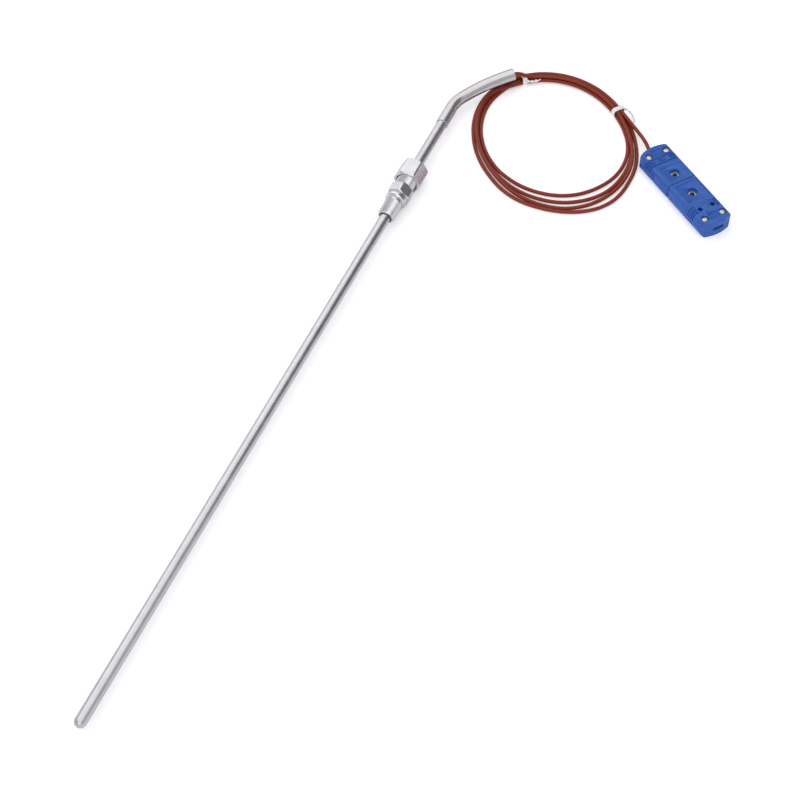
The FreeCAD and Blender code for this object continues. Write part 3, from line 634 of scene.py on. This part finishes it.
# ------------------------------------------------------------------ lead, coil and ties
@dataclass
class Lead:
    """The nearly round two-core lead from the transition tube, round the coil, to the plug."""

    width: float = 1.7
    height: float = 1.6
    centre: tuple[float, float] = (47.5, 77.0)
    mean_radius: float = 36.4
    oval: float = 3.0
    oval_bearing: float = 132.0
    turns: int = 4
    step: float = 8.0
    tie_bearings: tuple[float, float] = (132.0, 53.0)
    lift: float = 0.45
    tie_reach: float = 6.0
    lift_start: float = 3.0
    lift_run: float = 9.0
    groove_depth: float = 0.08
    groove_width: float = 0.22
    # Each row: a bearing, the four turns' offsets outward, then how far the first and last turns ride up.
    knots: tuple[tuple[float, ...], ...] = (
        (53, -0.85, -1.70, 0.00, 1.70, 1.6, 0.0), (40, -0.65, -1.50, 0.20, 1.90, 1.5, 0.0),
        (20, -0.70, -1.60, 0.10, 1.80, 1.5, 0.0), (5, 0.40, -2.20, -0.50, 2.30, 1.4, 0.0),
        (-15, 0.80, -3.50, -0.90, 3.00, 0.4, 0.0), (-36, 1.50, -4.90, -0.60, 5.50, 0.0, 0.0),
        (-50, 2.40, -4.90, -0.80, 5.50, 0.0, 0.0), (-63, 2.80, -4.80, -0.70, 4.70, 0.0, 0.0),
        (-78, 2.20, -4.50, -0.80, 4.00, 0.0, 0.0), (-92, 2.00, -3.80, -0.60, 4.20, 0.3, 0.0),
        (-106, 1.30, -3.10, -0.40, 3.60, 0.6, 0.0), (-120, 0.90, -2.30, -0.40, 2.70, 1.1, 0.0),
        (-140, 0.60, -1.90, -0.20, 2.20, 1.5, 0.0), (-160, 0.20, -1.90, -0.20, 1.60, 1.6, 0.0),
        (-180, 0.40, -1.90, -0.20, 1.60, 1.6, 0.0), (-200, 0.70, -1.40, 0.30, 2.20, 1.5, 0.0),
        (-207, -0.30, -1.35, 0.35, 2.15, 1.5, 0.2), (-213, -1.30, -0.90, 0.80, 2.20, 1.5, 0.9),
        (-218, -2.10, -0.50, 1.20, 1.90, 1.0, 1.5), (-223, -1.90, -0.15, 1.55, 1.30, 0.3, 1.6),
        (-228, -1.70, 0.00, 1.70, 0.85, 0.0, 1.6))
    tail_points: tuple[tuple[float, float, float], ...] = (
        (76.4, 97.8, 2.9), (81.8, 93.2, 3.2), (86.3, 88.7, 3.7))

    def spot(self, bearing: float, offset: float, height: float) -> Vector:
        """A point of the coil at a bearing, offset outward, at a height above the floor."""
        angle = math.radians(bearing)
        stretch = self.oval * math.cos(2 * (angle - math.radians(self.oval_bearing)))
        radius = self.mean_radius + stretch + offset
        x, y = self.centre
        return Vector((x + radius * math.cos(angle), y + radius * math.sin(angle), FLOOR + height))

    def place(self, turn: int, bearing: float) -> tuple[float, float]:
        """The offset and height of a strand.

        Args:
            turn: how many turns were wound before.
            bearing: from the first tie's bearing, down through the second tie's and round to it again.

        Returns:
            The offset outward from the bundle's middle and the height above the floor.
        """
        first, second = self.tie_bearings
        if turn == self.turns:
            offset, rise = self.knots[-1][self.turns], self.knots[-1][-1]
        else:
            after = next((i for i, row in enumerate(self.knots) if row[0] <= bearing), len(self.knots) - 1)
            start, end = self.knots[max(after - 1, 0)], self.knots[after]
            share = min(1.0, (start[0] - bearing) / (start[0] - end[0])) if start[0] > bearing else 0.0
            row = [a + (b - a) * share for a, b in zip(start, end)]
            offset = row[1 + turn]
            rise = {0: row[-2], self.turns - 1: row[-1]}.get(turn, 0.0)
        lifted = 0.0
        for tie in self.tie_bearings:
            off = abs((bearing - tie + 180) % 360 - 180)
            lifted = max(lifted, 1 - smooth((off - self.lift_start) / self.lift_run))
        between = second - self.tie_reach < bearing < first + self.tie_reach
        return offset, self.height / 2 + rise + self.lift * (1.0 if between else lifted)

    def route(self, tube_end: Vector, tube_way: Vector, mouth: Vector, mouth_way: Vector) -> list[Vector]:
        """The control points of the whole lead, in millimetres.

        Args:
            tube_end: the middle of the tube's free end.
            tube_way: the tube's direction there.
            mouth: the middle of the plug's cable mouth.
            mouth_way: the direction into the plug.

        Returns:
            The points from inside the tube to inside the plug.
        """
        points = [tube_end - tube_way * 4.0, tube_end - tube_way * 1.0, tube_end + tube_way * 2.2]
        count = round(360 / self.step)
        first = self.tie_bearings[0]
        for turn in range(self.turns + 1):
            for i in range(count):
                bearing = first - 4.0 - i * 360.0 / count
                if turn == self.turns and bearing < self.tie_bearings[1] - 4.0:
                    break
                points.append(self.spot(bearing, *self.place(turn, bearing)))
        points += [Vector((x, y, FLOOR + z)) for x, y, z in self.tail_points]
        points += [mouth - mouth_way * 1.5, mouth + mouth_way * 0.6, mouth + mouth_way * 3.0]
        return points

    def section(self, count: int = 24) -> list[tuple[float, float]]:
        """The nearly round outline, with a shallow groove between the two cores above and below."""
        outline = []
        for i in range(count):
            angle = math.tau * (i + 0.5) / count
            x = self.width / 2 * math.cos(angle)
            y = self.height / 2 * math.sin(angle)
            outline.append((x, y * (1 - self.groove_depth * math.exp(-(x / self.groove_width) ** 2))))
        return outline

    def tube(self, name: str, path: Sequence[Vector]) -> bpy.types.Object:
        """The lead's own mesh along a path, with a UV map in millimetres.

        Args:
            name: the piece's name.
            path: the points that it follows.

        Returns:
            The piece.
        """
        outline = self.section()
        bm = bmesh.new()
        rings = [ring_on(spot, side, top, outline)
                 for spot, (_, side, top) in zip(path, frames(path, UP))]
        add_rings(bm, rings)
        bm.verts.ensure_lookup_table()
        run = [0.0]
        for a, b in zip(path, path[1:]):
            run.append(run[-1] + (b - a).length)
        layer = bm.loops.layers.uv.new("along")
        count = len(outline)
        girth = math.pi * (self.width + self.height) / 2
        for face in bm.faces:
            around = [loop.vert.index % count for loop in face.loops]
            wraps = max(around) - min(around) > count // 2
            for loop, spoke in zip(face.loops, around):
                share = (spoke + count if wraps and spoke == 0 else spoke) / count
                loop[layer].uv = (share * girth, run[loop.vert.index // count])
        bmesh.ops.recalc_face_normals(bm, faces=bm.faces)
        mesh = bpy.data.meshes.new(name)
        bm.to_mesh(mesh)
        bm.free()
        return settle(name, mesh, "lead_jacket", 60.0)


@dataclass
class TwistTie:
    """A flat white tie: a band round the bundle and the twisted end that holds it."""

    number: int
    bearing: float
    half_width: float = 2.6
    low: float = 0.50
    high: float = 3.72
    band_width: float = 2.2
    thickness: float = 0.36
    corner: float = 1.0
    turn_step: float = 0.32
    twist: tuple[tuple[float, float, float], ...] = ()

    def band_outline(self, grow: float) -> list[tuple[float, float]]:
        """The band's line across the bundle: outward and up, rounded at the four corners."""
        corner = self.corner
        side, top, foot = self.half_width - corner, self.high - corner, self.low + corner
        middles = [(side, top, 0), (-side, top, 1), (-side, foot, 2), (side, foot, 3)]
        points = []
        for x, z, quarter in middles:
            for i in range(7):
                angle = math.radians(90 * quarter + 15 * i)
                points.append((x + (corner + grow) * math.cos(angle), z + (corner + grow) * math.sin(angle)))
        return points

    def world(self, lead: Lead, local: Vector) -> Vector:
        """Moves a point from the tie's own axes: outward, along the travel, up from the floor."""
        spot = lead.spot(self.bearing, 0.0, 0.0)
        turn = Matrix.Rotation(math.radians(self.bearing), 3, "Z")
        return spot + turn @ Vector((local.x, -local.y, local.z))

    def build(self, lead: Lead) -> bpy.types.Object:
        """Makes the tie.

        Args:
            lead: the lead that it holds.

        Returns:
            The piece.
        """
        bm = bmesh.new()
        half = self.band_width / 2
        crown = ((0.0, -half), (self.thickness, -half + 0.12), (self.thickness * 0.75, -0.35),
                 (self.thickness * 1.35, 0.0), (self.thickness * 0.75, 0.35), (self.thickness, half - 0.12),
                 (0.0, half))
        rings = []
        for grow, along in crown:
            rings.append([self.world(lead, Vector((x, along, z))) for x, z in self.band_outline(grow)])
        add_rings(bm, rings, looped=True)
        path = nurbs_line("tie path", [self.world(lead, Vector(p)) for p in self.twist], 12)
        turns = []
        for i, (spot, (_, side, top)) in enumerate(zip(path, frames(path, UP))):
            angle = self.turn_step * i
            cos, sin = math.cos(angle), math.sin(angle)
            flat = [(0.62, 0.10), (0.2, 0.24), (-0.2, 0.24), (-0.62, 0.10), (-0.62, -0.10), (-0.2, -0.24),
                    (0.2, -0.24), (0.62, -0.10)]
            turns.append(ring_on(spot, side, top, [(x * cos - y * sin, x * sin + y * cos) for x, y in flat]))
        add_rings(bm, turns)
        return from_bmesh(f"twist_tie_{self.number}", bm, "tie_band", 50.0)


# ------------------------------------------------------------------ sheath, fitting and tube
@dataclass
class BentTube:
    """The transition tube, swept along a straight run and two tangent arcs."""

    start_y: float = 61.1
    radius: float = 2.8
    bore: float = 2.38
    straight: float = 11.4
    arcs: tuple[tuple[float, float], ...] = ((16.0, 26.0), (80.0, 20.0))
    tilt: float = 5.0
    straight_steps: int = 14
    arc_step: float = 0.8
    kink_depth: float = 0.16
    spokes: int = 48

    def path(self) -> list[Vector]:
        """The tube's centre line, with nearly even steps."""
        spot = Vector((0.0, self.start_y, 0.0))
        steps = self.straight_steps
        points = [spot + Vector((0.0, self.straight * i / steps, 0.0)) for i in range(steps)]
        spot = spot + Vector((0.0, self.straight, 0.0))
        heading = 0.0
        for radius, turn in self.arcs:
            count = max(6, round(radius * math.radians(turn) / self.arc_step))
            middle = spot + Vector((math.cos(heading), -math.sin(heading), 0.0)) * radius
            for i in range(count):
                angle = heading + math.radians(turn) * i / count
                points.append(middle - Vector((math.cos(angle), -math.sin(angle), 0.0)) * radius)
            heading += math.radians(turn)
            spot = middle - Vector((math.cos(heading), -math.sin(heading), 0.0)) * radius
        points.append(spot)
        lean = Matrix.Rotation(math.radians(-self.tilt), 3, "Y")
        return [lean @ point for point in points]

    def build(self) -> bpy.types.Object:
        """Makes the tube, with a rolled lip at each end and the bore that shows at the free one."""
        path = self.path()
        lines = frames(path, UP)
        rings = []

        def ring(index: int, radius: float, along: float = 0.0) -> list[Vector]:
            """One circle round the path, moved along it."""
            tangent, side, top = lines[index]
            return ring_on(path[index] + tangent * along, side, top, circle(radius, self.spokes))

        last = len(path) - 1
        rings.append(ring(0, self.bore + 0.04, 0.9))
        rings.append(ring(0, self.bore + 0.04, 0.0))
        rings.append(ring(0, self.radius - 0.12, 0.0))
        rings.append(ring(0, self.radius - 0.02, 0.06))
        rings.append(ring(0, self.radius, 0.16))
        for i in range(1, last):
            squeeze = self.kink_depth * math.exp(-((i - self.straight_steps) / 1.6) ** 2)
            circle_points = ring(i, self.radius)
            middle = path[i]
            side = lines[i][1]
            for j, point in enumerate(circle_points):
                inner = max(0.0, (point - middle).dot(side) / self.radius)
                circle_points[j] = point - side * (squeeze * inner ** 3)
            rings.append(circle_points)
        rings.append(ring(last, self.radius, -0.16))
        rings.append(ring(last, self.radius - 0.04, -0.04))
        rings.append(ring(last, self.radius - 0.14, 0.0))
        rings.append(ring(last, self.bore + 0.08, 0.0))
        rings.append(ring(last, self.bore, -0.10))
        rings.append(ring(last, self.bore, -4.0))
        bm = bmesh.new()
        add_rings(bm, rings)
        return from_bmesh("bent_tube", bm, "tube_steel", 40.0)


@dataclass
class Fitting:
    """The compression fitting's body and nut, turned from bar, with helical threads."""

    bore: float = 2.45
    thread_pitch: float = 0.94
    thread_turns: float = 9.4
    thread_small: float = 3.72
    thread_depth: float = 0.55
    taper: float = 1.0 / 32
    neck_pitch: float = 1.0
    neck_radius: float = 4.30
    neck_root: float = 3.80
    collar_radius: float = 4.65
    body_hex: float = 9.5
    body_turn: float = 20.0
    nut_hex: float = 11.1
    segments: int = 120

    def bar(self, stations: Sequence[tuple[float, float, float]], turn: float) -> list[list[Vector]]:
        """Rings of a turned bar.

        Args:
            stations: y, radius and, where the bar is hexagonal, the size across flats, or 0.
            turn: the hexagon's turn in degrees.

        Returns:
            One ring for each station.
        """
        rings = []
        for y, radius, across in stations:
            ring = []
            for i in range(self.segments):
                angle = 360.0 * i / self.segments
                limit = radius
                if across:
                    off = (angle - turn) % 60 - 30
                    flat = across / 2 / math.cos(math.radians(off))
                    limit = min(radius, flat, across / math.sqrt(3) - 0.10)
                spoke = math.radians(angle)
                ring.append(Vector((limit * math.cos(spoke), y, limit * math.sin(spoke))))
            rings.append(ring)
        return rings

    def ramp(self, y0: float, r0: float, y1: float, r1: float,
             across: float) -> list[tuple[float, float, float]]:
        """Stations of a chamfer that runs from a circle into a hexagon."""
        return [(y0 + (y1 - y0) * i / 6, r0 + (r1 - r0) * i / 6, across) for i in range(7)]

    def body(self) -> bpy.types.Object:
        """Makes the fitting's body."""
        root = self.thread_small - self.thread_depth
        rise = self.taper * 9.6
        corner = self.body_hex / math.sqrt(3)
        flat = self.body_hex / 2
        collar = self.collar_radius
        stations = [(0.0, 2.95, 0), (0.0, root - 0.12, 0), (0.18, root, 0)]
        stations += [(9.3, root + rise, 0), (9.55, root + rise, 0), (9.8, 3.98, 0), (9.86, 4.15, 0)]
        stations += [(10.35, collar - 0.03, 0), (10.5, collar, 0), (12.3, collar, 0)]
        stations += [(12.5, collar - 0.1, 0), (12.6, collar - 0.15, 0)]
        stations += self.ramp(12.6, flat - 0.10, 13.15, corner, self.body_hex)
        stations += self.ramp(17.25, corner, 17.8, flat - 0.10, self.body_hex)
        stations += [(17.8, self.neck_root, 0), (27.4, self.neck_root, 0), (27.8, self.neck_root - 0.3, 0)]
        stations += [(27.8, 3.5, 0), (23.5, self.bore, 0), (5.0, self.bore, 0)]
        stations += [(4.6, 2.85, 0), (0.25, 2.85, 0)]
        bm = bmesh.new()
        add_rings(bm, self.bar(stations, self.body_turn), looped=True)
        return from_bmesh("compression_body", bm, "fitting_steel", 28.0)

    def nut(self) -> bpy.types.Object:
        """Makes the compression nut."""
        corner = self.nut_hex / math.sqrt(3)
        flat = self.nut_hex / 2
        inner = self.neck_radius + 0.06
        stations = [(22.2, inner + 0.55, 0), (22.2, flat - 0.25, 0), (22.22, flat - 0.2, 0)]
        stations += self.ramp(22.24, flat - 0.15, 22.95, corner, self.nut_hex)
        stations += self.ramp(31.2, corner, 31.9, flat - 0.05, self.nut_hex)
        stations += [(32.12, flat - 0.35, 0), (32.2, flat - 0.7, 0)]
        stations += [(32.2, self.bore + 0.35, 0), (32.05, self.bore, 0), (30.3, self.bore, 0)]
        stations += [(30.3, 3.4, 0), (29.3, 3.4, 0), (29.3, inner, 0), (22.7, inner, 0)]
        bm = bmesh.new()
        add_rings(bm, self.bar(stations, 0.0), looped=True)
        return from_bmesh("compression_nut", bm, "fitting_steel", 28.0)

    def threads(self) -> list[bpy.types.Object]:
        """Grows the pipe thread and the neck's thread as helical ridges."""
        tree = thread_tree()
        made = []
        depth = self.thread_depth
        first_root = self.thread_small - depth
        cut_turns = self.thread_turns - 0.6
        last_root = first_root + self.taper * cut_turns * self.thread_pitch
        neck_root = self.neck_root
        runs = (
            ("pipe_thread", 0.55, cut_turns, self.thread_pitch, first_root, last_root, depth),
            ("neck_thread", 18.7, 8.2, self.neck_pitch, neck_root, neck_root, self.neck_radius - neck_root),
        )
        for name, start, turns, pitch, small, large, deep in runs:
            base = bpy.data.meshes.new(name + ".base")
            values = {"Turns": turns, "Start Radius": small * MM, "End Radius": large * MM,
                      "Length": turns * pitch * MM, "Section Width": 2 * deep * MM,
                      "Section Half Height": pitch * 0.49 * MM, "Start": start * MM}
            made.append(tree.grow(name, "fitting_steel", base, values, 30.0))
        return made


# ------------------------------------------------------------------ connectors
@dataclass
class Connectors:
    """The mated plug and jack, in their own frame: X from the plug's cable end, Z from the floor."""

    place: tuple[float, float] = (90.6, 83.24)
    bearing: float = -36.2
    height: float = 7.9
    parting: float = 3.95
    half_width: float = 8.0
    screw_y: float = 4.5
    plug_screw_x: float = 4.2
    jack_screw_x: float = 46.0
    soft_edge: float = 0.16
    slot_width: float = 0.48
    slot_depth: float = 0.42
    screw_sink: float = 0.25
    rib_sink: float = 0.35

    def way(self) -> Vector:
        """The direction along the pair, from the cable end."""
        angle = math.radians(self.bearing)
        return Vector((math.cos(angle), math.sin(angle), 0.0))

    def world(self, x: float, y: float, z: float) -> Vector:
        """Moves a point from the pair's own frame to the part's."""
        along = self.way()
        across = Vector((-along.y, along.x, 0.0))
        px, py = self.place
        return Vector((px, py, FLOOR + z)) + along * x + across * y

    def mouth(self) -> Vector:
        """The middle of the plug's cable mouth."""
        return self.world(0.0, 0.0, self.parting)

    def shell(self, node: str, name: str) -> bpy.types.Object:
        """Makes a moulded shell with softened edges from a CAD shell's surface.

        Args:
            node: the CAD node.
            name: the new piece's name.

        Returns:
            The piece.
        """
        bm = bmesh.new()
        bm.from_mesh(frame["nodes"][node].data)
        bmesh.ops.remove_doubles(bm, verts=bm.verts, dist=2e-6)
        bmesh.ops.dissolve_limit(bm, angle_limit=math.radians(2.0), verts=bm.verts, edges=bm.edges)
        mesh = bpy.data.meshes.new(name)
        bm.to_mesh(mesh)
        bm.free()
        holder = bpy.data.objects.new(name + ".edges", mesh)
        bpy.context.scene.collection.objects.link(holder)
        bevel = holder.modifiers.new("soft edges", "BEVEL")
        bevel.width = self.soft_edge * MM
        bevel.segments = 2
        bevel.limit_method = "ANGLE"
        bevel.angle_limit = math.radians(50)
        bevel.use_clamp_overlap = True
        holder.modifiers.new("even shading", "WEIGHTED_NORMAL")
        graph = bpy.context.evaluated_depsgraph_get()
        made = bpy.data.meshes.new_from_object(holder.evaluated_get(graph))
        bpy.data.objects.remove(holder)
        return settle(name, made, "blue_moulding", 50.0)

    def slotted_screw(self) -> bpy.types.Object:
        """Makes one cheese-head screw with a straight slot, round the origin, its top at z 0."""
        bm = bmesh.new()
        profile = ((0.62, -0.02), (1.10, -0.10), (1.34, -0.28), (1.40, -0.45), (1.40, -1.1))
        count = 48
        layers = []
        for radius, z in profile:
            ring = []
            for i in range(count):
                angle = math.tau * (i + 0.5) / count
                x, y = radius * math.cos(angle), radius * math.sin(angle)
                deep = z - self.slot_depth if abs(y) < self.slot_width / 2 and z > -0.5 else z
                ring.append(Vector((x, y, deep)))
            layers.append(ring)
        add_rings(bm, layers)
        return from_bmesh("slotted screw", bm, "cover_screw", 30.0)

    def screws(self, name: str, x: float, turns: Sequence[float]) -> bpy.types.Object:
        """Sets two cover screws in their seats."""
        top = self.height - self.screw_sink
        spots = []
        for side, turn in zip((1, -1), turns):
            spots.append((self.world(x, side * self.screw_y, top), math.radians(self.bearing + turn)))
        return copies(name, "cover_screw", self.slotted_screw(), spots)

    def rib(self, length: float, width: float, tall: float) -> bpy.types.Object:
        """Makes one raised rib with rounded shoulders, lying along X round the origin."""
        bm = bmesh.new()
        outline = [(-width / 2, -0.05), (-width / 2, tall * 0.6), (-width / 4, tall), (width / 4, tall),
                   (width / 2, tall * 0.6), (width / 2, -0.05)]
        rings = []
        for x, shrink in ((-length / 2, 0.5), (-length / 2 + 0.1, 0.9), (0.0, 1.0), (length / 2 - 0.1, 0.9),
                          (length / 2, 0.5)):
            rings.append([Vector((x, y * shrink, max(-0.05, z * shrink))) for y, z in outline])
        add_rings(bm, rings)
        return from_bmesh("raised rib", bm, "blue_moulding", 40.0)

    def ribs(self, name: str, x: float, count: int = 5, pitch: float = 0.9,
             length: float = 2.2) -> bpy.types.Object:
        """Sets a row of raised ribs, side by side across the pair, at one x."""
        turn = math.radians(self.bearing)
        spots = []
        for i in range(count):
            spots.append((self.world(x, (i - (count - 1) / 2) * pitch, self.height - self.rib_sink), turn))
        return copies(name, "blue_moulding", self.rib(length, 0.34, 0.16), spots)


# ------------------------------------------------------------------ assembly
def dress_nodes() -> None:
    """Gives every CAD node that stays its procedural material."""
    slots = {part["node"]: part["material_slot"] for part in frame["record"]["subparts"]}
    for name, node in frame["nodes"].items():
        if name in REPLACED:
            continue
        node.data.materials.clear()
        node.data.materials.append(MATERIALS[slots[name]])


def add(piece: bpy.types.Object, body: str, *nodes: str) -> None:
    """Puts a finished piece on its body, in place of the CAD nodes that it stands for."""
    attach(piece, body)
    if nodes:
        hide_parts(*nodes)
        REPLACED.update(nodes)
    LOG.info("%s rides on %s with %d faces", piece.name, body, len(piece.data.polygons))


def main() -> None:
    """Builds the studio and every piece in order."""
    logging.basicConfig(level=logging.INFO)
    Studio().build()
    tube = BentTube()
    pair = Connectors()
    lead = Lead()
    path = tube.path()
    way = (path[-1] - path[-2]).normalized()
    line = nurbs_line("lead line", lead.route(path[-1], way, pair.mouth(), pair.way()), 4)
    cable = lead.tube("lead", line)
    ties = [
        TwistTie(1, 132.0, twist=((-2.7, 0.0, 2.9), (-3.3, 1.6, 2.7), (-3.4, 4.4, 2.2), (-3.0, 7.2, 1.8))),
        TwistTie(2, 53.0, twist=((2.7, 0.2, 3.0), (3.9, 2.0, 2.8), (4.4, 5.4, 2.2), (3.2, 8.8, 1.5))),
    ]
    bands = [tie.build(lead) for tie in ties]
    add(cable, "probe", "lead_start", "lead_coil", "lead_tail")
    for number, band in enumerate(bands, 1):
        add(band, "probe", f"lead_tie_{number}")

    add(tube.build(), "probe", "transition_tube")
    fitting = Fitting()
    add(fitting.body(), "fitting_body", "fitting_body")
    for ridge in fitting.threads():
        add(ridge, "fitting_body")
    add(fitting.nut(), "fitting_nut", "fitting_nut")

    for node, name in (("plug_base", "plug_lower_shell"), ("plug_cover", "plug_upper_shell")):
        piece = pair.shell(node, name)
        add(piece, "probe", node)
    for node, name in (("jack_base", "jack_lower_shell"), ("jack_cover", "jack_upper_shell")):
        add(pair.shell(node, name), "jack", node)
    plug_screws = pair.screws("plug_screw_heads", pair.plug_screw_x, (25.0, 80.0))
    add(plug_screws, "probe", "plug_cover_screws")
    add(pair.screws("jack_screw_heads", pair.jack_screw_x, (60.0, 10.0)), "jack", "jack_cover_screws")
    plug_ribs = pair.ribs("plug_name_ribs", 3.7)
    add(plug_ribs, "probe")
    add(pair.ribs("jack_name_ribs", 46.1), "jack")

    dress_nodes()
    tuple(path[-1] * MM)


if __name__ == "__main__":
    main()
